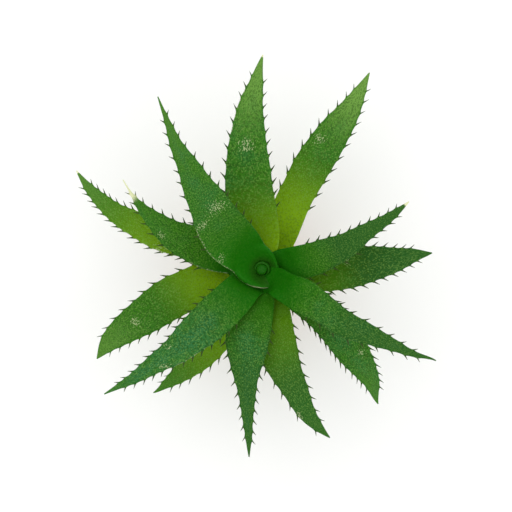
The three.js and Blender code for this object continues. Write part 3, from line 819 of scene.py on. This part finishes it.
def shape_blade(leaf, habit, seed, look):
    """The middle surface of one leaf, its normals and the thickness to give it."""
    count = look.stations
    places = np.linspace(0, 1, len(leaf.line))
    fine = np.linspace(0, 1, count)
    line = relax(respace(leaf.line, count), 60)
    length = np.linalg.norm(np.diff(line, axis=0), axis=1).sum()
    width, thickness, gutter = (
        relax(np.interp(fine, places, values), 24)
        for values in (leaf.width, leaf.thickness, leaf.gutter))
    if seed < FLAT_SEATS:
        gutter = gutter * (0.3 + 0.7 * smooth_step(0.02, 0.14, fine))
    _, side, face = line_axes(line)

    # The last of the tip hooks over, and no leaf is quite straight.
    bend = smooth_step(0.84, 1.0, fine)[:, None] ** 1.5
    sway = wander(fine * length, 90 * MM, seed) * 0.8 * MM
    sway = sway * smooth_step(0.15, 0.5, fine) * (1 - smooth_step(0.85, 1, fine))
    line = line + bend * (side * habit.hook[0] + face * habit.hook[1]) * MM + side * sway[:, None]
    ahead, side, face = line_axes(line)

    across = ring_places(look.ring_points)[0][:look.ring_points // 2 + 1]
    half_angle = np.clip(2 * np.arctan2(2 * gutter, width), 0.04, 1.5)[:, None]
    radius = (width[:, None] / 2 / np.sin(half_angle))[..., None]
    cos, sin = np.cos(half_angle * across)[..., None], np.sin(half_angle * across)[..., None]
    outward = side[:, None] * cos + face[:, None] * sin
    middle = line[:, None] + side[:, None] * radius * sin + face[:, None] * radius * (1 - cos)

    # The margin swells a little under each thorn.
    margin_out = np.zeros((count, len(across)))
    for foot, _ in leaf.thorns:
        nearest = np.argmin(np.linalg.norm(line - foot, axis=1))
        hand = np.sign((foot - line[nearest]) @ side[nearest])
        swell = look.margin_swell * np.exp(-((fine - fine[nearest]) * length / (1.9 * MM)) ** 2)
        on_hand = np.where(np.sign(across) == hand, np.abs(across) ** 8, 0)
        margin_out = margin_out + swell[:, None] * on_hand
    middle = middle + outward * (margin_out * np.sign(across))[..., None]
    if seed == TOP_LEAF:
        middle = sheathed(middle, fine, across)
    over = np.cross(np.gradient(middle, axis=0), -np.gradient(middle, axis=1))
    return Blade(middle, unit(over), ahead, length), fine, thickness


def blade_shell(blade, fine, thickness, habit, seed, look):
    """The blade of one leaf as a fine closed skin on both sides of its middle surface."""
    across, upper = ring_places(look.ring_points)
    count, around = len(fine), len(across)
    body = 1 - (1 - MARGIN_SHARE) * across ** 2
    rounded = np.sqrt(np.clip(1 - across ** 14, 0, 1))
    lift = thickness[:, None] / 2 * body * rounded * upper

    # Fine ribs run along the blade, strongest below, and the faces swell and sink a little.
    breadth = np.linalg.norm(blade.middle[:, 0] - blade.middle[:, -1], axis=1)
    rib = np.sin(math.pi * across * breadth[:, None] / RIB_SPACING + seed) * look.rib_depth
    rib = rib * (1.4 - 0.6 * upper) * smooth_step(0.12, 0.3, fine)[:, None]
    rib = rib * (1 - smooth_step(0.8, 0.97, fine))[:, None]
    swell = wander(fine[:, None] * blade.length + across * 9 * MM, 34 * MM, seed + 50) * 0.3 * MM
    lift = lift + (rib + swell) * rounded * np.minimum(1, thickness[:, None] / (4 * MM)) * np.abs(upper)
    rings = folded(blade.middle) + folded(blade.normal) * lift[..., None]

    along = np.repeat(fine[:, None], around, axis=1)
    across_all = np.repeat(across[None], count, axis=0)
    upper_all = np.repeat(upper[None], count, axis=0)
    return lofted(rings, leaf_fields(habit, along, across_all, upper_all, blade.length, seed))


# A thorn from inside the margin to its point: places along it, and its width next to its width
# just above the foot.
THORN_PLACES = np.array([-0.3, -0.12, 0.0, 0.08, 0.18, 0.35, 0.55, 0.75, 0.9, 1.0])
THORN_WIDTHS = np.array([1.5, 1.75, 1.7, 1.35, 1.05, 0.85, 0.65, 0.42, 0.22, 0.05])
THORN_SIDES = 10
FULL_THORN = 6.4 * MM                   # a shorter thorn is slimmer too
THORN_ROOT = 0.5 * MM                   # how deep its foot sits in the margin
THORN_CURVE = 0.07                      # how far its point bends ahead, next to its length


def thorn_shell(foot, point, normal, ahead, across, along, habit, length, seed, look):
    """One thorn: a flat, slightly curved spine with a spread foot."""
    reach = np.linalg.norm(point - foot)
    axis = (point - foot) / reach
    broad = unit(np.cross(axis, normal))
    flat = np.cross(broad, axis)
    share = min(1, reach / FULL_THORN)
    turn = np.linspace(0, 2 * math.pi, THORN_SIDES, endpoint=False)
    half = look.thorn_width / 2 * share * THORN_WIDTHS
    curve = np.clip(THORN_PLACES, 0, 1) ** 2 * reach * THORN_CURVE
    middle = foot + axis * (THORN_PLACES * reach)[:, None] + ahead * curve[:, None]
    flatness = np.interp(THORN_PLACES, [0, 0.4, 1], [0.62, 0.8, 1.0])
    rings = middle[:, None] + broad * (half[:, None] * np.cos(turn))[..., None]
    rings = rings + flat * ((half * flatness)[:, None] * np.sin(turn))[..., None]
    same = np.ones(rings.shape[:2])
    fields = leaf_fields(habit, same * along, same * across, same, length, seed)
    horn = smooth_step(-0.02, 0.3, THORN_PLACES)[:, None] * same
    fields["marks"][..., 1] = horn * (1 - 0.35 * smooth_step(0.6, 1.0, along))
    fields["spot"][..., 1] = 0
    fields["run"][..., 0] += np.repeat(THORN_PLACES[:, None] * reach, THORN_SIDES, axis=1)
    return lofted(rings, fields)


def leaf_shells(node, habit, seed, look):
    """The blade and thorns of one leaf. The topmost leaf's seat wraps round the heart."""
    leaf = measure_leaf(node)
    blade, fine, thickness = shape_blade(leaf, habit, seed, look)
    if seed == TOP_LEAF:
        thickness = thickness * (0.35 + 0.65 * smooth_step(0.06, 0.3, fine))
    shells = [blade_shell(blade, fine, thickness, habit, seed, look)]
    if seed == TOP_LEAF:
        # The cup is brown where it clasps the rolled leaves.
        clasp = 1 - smooth_step(0.03, 0.09, np.repeat(fine, look.ring_points))
        shells[0].fields["marks"][:, 1] = SHEATH_BROWN * clasp
    middle_line = blade.middle[:, blade.middle.shape[1] // 2]
    for foot, point in leaf.thorns:
        i = int(np.argmin(np.linalg.norm(middle_line - foot, axis=1)))
        margins = blade.middle[i, [0, -1]]
        k = int(np.argmin(np.linalg.norm(margins - foot, axis=1)))
        hand = 1 if k == 0 else -1
        inward = unit(middle_line[i] - margins[k])
        seat = margins[k] + inward * THORN_ROOT
        normal = blade.normal[i, 0 if k == 0 else -1]
        shells.append(thorn_shell(
            seat, seat + (point - foot), normal, blade.ahead[i], hand * 0.95, fine[i], habit,
            blade.length, seed, look))
    return shells


# ---- rolled heart leaves -------------------------------------------------------------------------

HEART_HABIT = Habit(0.0, 0.2, 0.0, 0.0, 0.0, 0, (0, 0), [], [])
SPINDLE_SWELL = 1.24                    # its girth next to its solid's, so that it fills the horseshoe
ROLL_WALL = 3 * MM
ROLL_TOWARDS = math.radians(82)         # the middle of the horseshoe
ROLL_HALF_TURN = math.radians(138)


def heart_fields(up, around_share, brown):
    """Fields of the rolled leaves: all in the painted shade green of the heart, with brown at the edge of
    the roll.
    """
    fields = leaf_fields(HEART_HABIT, up * 0 + 0.3, around_share, up * 0 + 1, 0.03, 3)
    fields["run"] = np.stack([around_share * 8 * MM, up * 18 * MM, up * 0 + 2], axis=-1)
    fields["marks"][..., 1] = brown
    # Painted shade: the whole roll takes the deep heart green.
    fields["spot"][..., 2] = 1
    return fields


def spindle_shell(rings_up=26, around=40):
    """The inner rolled leaf: a pointed spindle with its free margin lapped round it."""
    height = INNER_HIGH.z - INNER_LOW.z
    radius = (INNER_HIGH.x - INNER_LOW.x) / 2
    up = np.linspace(0, 1, rings_up)
    turn = np.linspace(0, 2 * math.pi, around, endpoint=False)
    girth = radius * SPINDLE_SWELL * (1 - up ** 16) + 0.12 * MM
    # The lap: each ring's radius grows round the turn and drops at the free margin, which winds up.
    wound = (turn[None] / (2 * math.pi) + up[:, None] * 0.35) % 1
    r = girth[:, None] * (0.93 + 0.12 * wound * (1 - smooth_step(0.95, 1.0, wound)))
    rings = np.stack([
        HEART.x + r * np.cos(turn), HEART.y + r * np.sin(turn),
        np.repeat((INNER_LOW.z + height * up)[:, None], around, axis=1)], axis=2)
    ups = np.repeat(up[:, None], around, axis=1)
    brown = 0.15 * smooth_step(0.88, 1.0, wound)
    return lofted(rings, heart_fields(ups, wound * 2 - 1, brown))


def roll_shell(rings_up=20, around=56):
    """The outer rolled leaf: a horseshoe wall round the spindle, lower at its two free margins."""
    height = OUTER_HIGH.z - OUTER_LOW.z
    outer = (OUTER_HIGH.x - OUTER_LOW.x) / 2
    across, face = ring_places(around)
    up = np.linspace(0, 1, rings_up)
    lean = 1 - 0.08 * up
    top = 1 - 0.4 * across ** 2
    half = ROLL_WALL / 2 * (1 - 0.45 * np.abs(across) ** 3) * np.sqrt(np.clip(1 - across ** 12, 0, 1))
    half = half[None] * np.sqrt(np.clip(1 - (0.97 * up[:, None]) ** 6, 0, 1))
    radius = ((outer - ROLL_WALL / 2) * lean)[:, None] + half * face
    angle = ROLL_TOWARDS + across * ROLL_HALF_TURN
    rings = np.stack([
        HEART.x + radius * np.cos(angle), HEART.y + radius * np.sin(angle),
        OUTER_LOW.z + height * up[:, None] * top], axis=2)
    ups = np.repeat(up[:, None], around, axis=1)
    brown = 0.12 + 0.08 * smooth_step(0.6, 1.0, ups)
    return lofted(rings, heart_fields(ups, np.repeat(across[None], rings_up, axis=0), brown))


# ---- operators -----------------------------------------------------------------------------------

class SUCCULENT_OT_leaves(bpy.types.Operator):
    """Builds the full leaves with their thorns, each from its own solid in the frame"""

    bl_idname = "succulent.leaves"
    bl_label = "Grow leaves"

    def execute(self, context):
        look = context.scene.succulent_leaves
        skin = leaf_cuticle("leaf_cuticle_waxy_grown", look.shaded)
        for level, (node, habit) in enumerate(zip(LEAF_NODES, HABITS, strict=True)):
            shells = leaf_shells(node, habit, level, look)
            add_piece(f"{node}_blade", shells, skin, [node])
        return {"FINISHED"}


class SUCCULENT_OT_heart(bpy.types.Operator):
    """Builds the two rolled young leaves in the middle of the rosette"""

    bl_idname = "succulent.heart"
    bl_label = "Grow heart leaves"

    def execute(self, context):
        # The rolled leaves are painted in the shade green of the heart.
        skin = leaf_cuticle("young_leaf_cuticle_rolled", context.scene.succulent_leaves.young_shaded)
        add_piece("heart_spindle", [spindle_shell()], skin, ["heart_leaf_inner"])
        add_piece("heart_roll", [roll_shell()], skin, ["heart_leaf_outer"])
        return {"FINISHED"}


SCAR_SPACING = 2.6 * MM
SCAR_DEPTH = 0.5 * MM


class SUCCULENT_OT_stem(bpy.types.Operator):
    """Builds the short stem with the rings that shed leaves left on it"""

    bl_idname = "succulent.stem"
    bl_label = "Grow stem"

    def execute(self, context):
        points, _ = merged_mesh("stem")
        r = np.hypot(points[:, 0] - HEART.x, points[:, 1] - HEART.y)
        outline = sorted({(round(z, 5), round(a, 5)) for a, z in zip(r, points[:, 2]) if a > 1 * MM})
        profile = [(0, outline[0][0]), *((a, z) for z, a in outline), (0, outline[-1][0])]
        profile = filled(eased(profile, 0.8 * MM), 0.8 * MM)
        rings, angles = turned(profile, 96, (HEART.x, HEART.y))
        heights = rings[..., 2]
        scar = 0.5 + 0.5 * np.sin(2 * math.pi * heights / SCAR_SPACING + 1.5 * np.sin(3 * angles))
        out = np.stack([np.cos(angles), np.sin(angles), angles * 0], axis=1)
        shrink = np.hypot(rings[..., 0] - HEART.x, rings[..., 1] - HEART.y) / (20 * MM)
        rings = rings - out[None] * (scar * SCAR_DEPTH * np.clip(shrink, 0, 1))[..., None]
        shell = lofted(rings[1:-1], {"worn": scar[1:-1] ** 4})
        add_piece("stem_rind", [shell], stem_rind(), ["stem"])
        return {"FINISHED"}


class SUCCULENT_OT_pot(bpy.types.Operator):
    """Builds the clay pot with its collar and drainage holes"""

    bl_idname = "succulent.pot"
    bl_label = "Turn pot"

    def execute(self, context):
        size = context.scene.succulent_pot
        height = POT_HIGH.z - POT_LOW.z
        mouth = (POT_HIGH.x - POT_LOW.x) / 2
        points, _ = merged_mesh("pot")
        on_ground = points[points[:, 2] < POT_LOW.z + 0.01 * MM]
        base = np.hypot(on_ground[:, 0], on_ground[:, 1]).max() + size.ease

        def wall(z):
            return base + (mouth - size.collar_step - base) * z / height

        collar = height - size.collar_height
        corners = [
            (0, 0), (base, 0), (wall(collar), collar), (mouth - size.ease / 2, collar + size.ease / 2),
            (mouth, height), (wall(height) - size.wall, height),
            (wall(size.floor) - size.wall, size.floor), (0, size.floor),
        ]
        profile = filled(eased(corners, size.ease), 1.6 * MM)
        rings, angles = turned([(r, z + POT_LOW.z) for r, z in profile], 180)
        radius = np.array([r for r, _ in profile])
        z = np.array([z for _, z in profile])
        edges = [(mouth, height), (mouth, collar), (base, 0), (wall(height) - size.wall, height)]
        near = np.min([np.hypot(radius - a, z - b) for a, b in edges], axis=0)
        worn = np.exp(-(near / (1.6 * MM)) ** 2)[:, None] * (0.5 + 0.5 * wander(angles, 0.9, 4))[None]
        # A hand-made wall is never quite round.
        out_of_round = wander(angles, 2.1, 7)[None] * 0.18 * MM + wander(z, 17 * MM, 8)[:, None] * 0.1 * MM
        out_of_round = out_of_round * smooth_step(1 * MM, 8 * MM, z)[:, None] * (radius > 10 * MM)[:, None]
        out = np.stack([np.cos(angles), np.sin(angles), angles * 0], axis=1)
        rings = rings + out[None] * out_of_round[..., None]
        shell = lofted(rings[1:-1], {"worn": worn[1:-1]})
        pot = add_piece("clay_pot", [shell], fired_clay(), ["pot"])
        self.drill(pot, size)
        return {"FINISHED"}

    def drill(self, pot, size):
        """Cuts the drainage holes through the floor."""
        cutter_mesh = bpy.data.meshes.new("drain_cutter")
        shape = bmesh.new()
        for i in range(size.drain_count):
            turn = 2 * math.pi * i / size.drain_count
            place = Matrix.Translation((
                size.drain_ring * math.cos(turn), size.drain_ring * math.sin(turn), size.floor / 2))
            bmesh.ops.create_cone(
                shape, cap_ends=True, segments=48, radius1=size.drain_radius,
                radius2=size.drain_radius * 0.96, depth=size.floor * 3, matrix=place)
        shape.to_mesh(cutter_mesh)
        shape.free()
        cutter = bpy.data.objects.new("drain_cutter", cutter_mesh)
        bpy.context.scene.collection.objects.link(cutter)
        cut = pot.modifiers.new("drains", "BOOLEAN")
        cut.object = cutter
        cut.operation = "DIFFERENCE"
        cut.solver = "EXACT"
        apply_modifiers(pot)
        bpy.data.objects.remove(cutter)


def apply_modifiers(piece):
    """Makes what a piece's modifiers give its own mesh."""
    evaluated = piece.evaluated_get(bpy.context.evaluated_depsgraph_get())
    mesh = bpy.data.meshes.new_from_object(evaluated)
    piece.modifiers.clear()
    piece.data = mesh


CLEAR_OF_STEM = 13 * MM                 # loose crumbs keep this far from the stem's middle


class SUCCULENT_OT_mix(bpy.types.Operator):
    """Builds the potting mix with loose bark, grit and perlite on it"""

    bl_idname = "succulent.mix"
    bl_label = "Fill with potting mix"

    def execute(self, context):
        look = context.scene.succulent_mix
        points, _ = merged_mesh("potting_mix")
        r = np.hypot(points[:, 0], points[:, 1])
        lip = r[points[:, 2] > MIX_LOW.z + 1 * MM].max()
        foot = r[points[:, 2] < MIX_LOW.z + 0.01 * MM].max()
        edge_height = points[r > lip - 0.01 * MM][:, 2].max()
        self.lip, self.edge_height = lip, edge_height
        profile = [(0, MIX_LOW.z), (foot, MIX_LOW.z), (lip, edge_height)]
        profile += [(lip * share, self.top_at(lip * share)) for share in (0.9, 0.8, 0.4, 0)]
        rings, _ = turned(filled(profile, 1.2 * MM), 160)
        lift = np.zeros(rings.shape[:2])
        for i, j in np.ndindex(lift.shape):
            x, y, z = rings[i, j]
            if z > edge_height - 0.5 * MM:
                lift[i, j] = noise.noise(Vector((x, y, 0)) / (2.4 * MM)) * 0.7 * MM - 0.3 * MM
        rings[..., 2] += lift
        peat = loose_matter("peat_damp_fibrous", look.peat, linear("#5a4632"), 1.1 * MM, 0.95)
        add_piece("potting_mix_body", [lofted(rings[1:-1], {})], peat, ["potting_mix"])
        # Composted bark is torn and brown, washed grit is buff and smoother, perlite is puffed and white.
        kinds = [
            ("bark_chips", look.bark, linear("#8a6744"), (2.2, 4.2), (1.0, 0.55, 0.3), 0.85, 0.9 * MM),
            ("grit_stones", look.grit, linear("#c4b9a4"), (1.2, 2.8), (1.0, 0.8, 0.65), 0.7, 0.5 * MM),
            ("perlite_grains", look.perlite, linear("#ffffff"), (1.2, 3.0), (1.0, 0.9, 0.8), 0.9, 0.4 * MM),
        ]
        for seed, (name, ground, light, sizes, shape, roughness, grain) in enumerate(kinds):
            matter = loose_matter(f"{name}_loose", ground, light, grain, roughness)
            shells = self.scatter(look.crumbs, sizes, shape, seed + 20)
            add_piece(name, shells, matter)
        return {"FINISHED"}

    def top_at(self, radius):
        """Height of the mix's surface at a distance from the axis."""
        heap = MIX_HIGH.z - self.edge_height
        return self.edge_height + heap * float(1 - smooth_step(0.75 * self.lip, self.lip, radius))

    def scatter(self, count, sizes, shape, seed):
        """Angular crumbs that lie half sunk in the mix, clear of the pot's wall and the stem."""
        random = np.random.default_rng(seed)
        ball = bmesh.new()
        bmesh.ops.create_icosphere(ball, subdivisions=2, radius=1)
        ball.verts.ensure_lookup_table()
        form = np.array([v.co for v in ball.verts])
        faces = [tuple(v.index for v in face.verts) for face in ball.faces]
        ball.free()
        shells = []
        while len(shells) < count:
            size = random.uniform(*sizes) * MM / 2
            radius = (self.lip - size * 1.2) * math.sqrt(random.uniform(0, 1))
            turn = random.uniform(0, 2 * math.pi)
            x, y = radius * math.cos(turn), radius * math.sin(turn)
            if math.hypot(x - HEART.x, y - HEART.y) < CLEAR_OF_STEM:
                continue
            offset = random.uniform(0, 90, 3)
            lumps = np.array([noise.noise(Vector(p * 1.6 + offset)) for p in form])
            points = form * (0.85 + 0.5 * lumps)[:, None] * np.array(shape) * size
            spin = Matrix.Rotation(random.uniform(0, 6.3), 3, "Z")
            spin = spin @ Matrix.Rotation(random.uniform(-0.5, 0.5), 3, "X")
            points = points @ np.array(spin).T + (x, y, self.top_at(radius) + size * shape[2] * 0.3)
            shells.append(Shell(points, faces, {}))
        return shells


class SUCCULENT_OT_studio(bpy.types.Operator):
    """Sets up the pale floor, the soft lights and the camera that looks straight down"""

    bl_idname = "succulent.studio"
    bl_label = "Set up studio"

    def execute(self, context):
        scene = context.scene
        studio = scene.succulent_studio
        self.add_floor(scene, studio)
        self.add_lights(scene, studio)
        low, high = CAD_BOUNDS
        middle = (low + high) / 2
        camera = bpy.data.objects.new("camera", bpy.data.cameras.new("camera"))
        camera.location = (middle.x + studio.camera_aside, middle.y, studio.camera_height)
        distance = studio.camera_height - studio.subject_height
        camera.data.sensor_width = 36
        camera.data.lens = camera.data.sensor_width * distance / studio.field_width
        camera.data.clip_end = 30
        scene.collection.objects.link(camera)
        scene.camera = camera
        scene.view_settings.view_transform = "Standard"
        return {"FINISHED"}

    def add_floor(self, scene, studio):
        shape = bmesh.new()
        bmesh.ops.create_grid(shape, x_segments=8, y_segments=8, size=studio.floor_size / 2)
        mesh = bpy.data.meshes.new("floor")
        shape.to_mesh(mesh)
        shape.free()
        floor = bpy.data.objects.new("floor", mesh)
        floor.location.z = CAD_BOUNDS[0].z - 0.1 * MM
        scene.collection.objects.link(floor)
        material, tree, shader = new_material("studio_paper_matt")
        place = add_node(tree, "TexCoord").outputs["Object"]
        # Paper fibres are too fine to show: a faint unevenness is drawn 60 mm across.
        haze = add_node(
            tree, "TexNoise", None, {"Scale": 1 / (60 * MM), "Detail": 2}, {"Vector": place}).outputs["Fac"]
        faint = add_node(tree, "MapRange", None, {"To Max": 0.02}, {"Value": haze})
        paint(tree, shader, studio.floor_shade, [(faint.outputs[0], linear("#d8d8d4"))])
        shader.inputs["Roughness"].default_value = 0.95
        shader.inputs["Specular IOR Level"].default_value = 0.1
        mesh.materials.append(material)

    def add_lights(self, scene, studio):
        world = bpy.data.worlds.new("soft_room")
        world.use_nodes = True
        ground = world.node_tree.nodes["Background"]
        ground.inputs["Color"].default_value = (1, 1, 1, 1)
        ground.inputs["Strength"].default_value = studio.world_light
        scene.world = world
        aim = Vector((HEART.x, HEART.y, studio.subject_height))
        for name, place, size, power in [
            ("key_softbox", (-0.35, 0.45, 1.6), 1.2, studio.key_power),
            ("fill_softbox", (0.6, -0.5, 1.5), 1.4, studio.key_power * 0.4),
        ]:
            light = bpy.data.lights.new(name, "AREA")
            light.shape = "DISK"
            light.size = size
            light.energy = power
            holder = bpy.data.objects.new(name, light)
            holder.location = place
            holder.rotation_euler = (aim - Vector(place)).to_track_quat("-Z", "Y").to_euler()
            holder.visible_camera = False
            scene.collection.objects.link(holder)


STEPS = [
    SUCCULENT_OT_studio, SUCCULENT_OT_pot, SUCCULENT_OT_mix, SUCCULENT_OT_stem,
    SUCCULENT_OT_heart, SUCCULENT_OT_leaves,
]


class SUCCULENT_PT_panel(bpy.types.Panel):
    """Lists the steps that build the succulent"""

    bl_idname = "SUCCULENT_PT_panel"
    bl_label = "Potted Succulent"
    bl_space_type = "VIEW_3D"
    bl_region_type = "UI"
    bl_category = "Succulent"

    def draw(self, context):
        for step in STEPS:
            self.layout.operator(step.bl_idname)
        for name in SETTINGS:
            box = self.layout.box()
            settings = getattr(context.scene, name)
            for key in settings.bl_rna.properties.keys():
                if key not in ("rna_type", "name"):
                    box.prop(settings, key)


CLASSES = [*SETTINGS.values(), *STEPS, SUCCULENT_PT_panel]


def register():
    for made in CLASSES:
        bpy.utils.register_class(made)
    for name, settings in SETTINGS.items():
        setattr(bpy.types.Scene, name, PointerProperty(type=settings))


def unregister():
    for name in SETTINGS:
        delattr(bpy.types.Scene, name)
    for made in reversed(CLASSES):
        bpy.utils.unregister_class(made)


def main():
    register()
    bpy.ops.succulent.studio()
    bpy.ops.succulent.pot()
    bpy.ops.succulent.mix()
    bpy.ops.succulent.stem()
    bpy.ops.succulent.heart()
    bpy.ops.succulent.leaves()


if __name__ == "__main__":
    main()
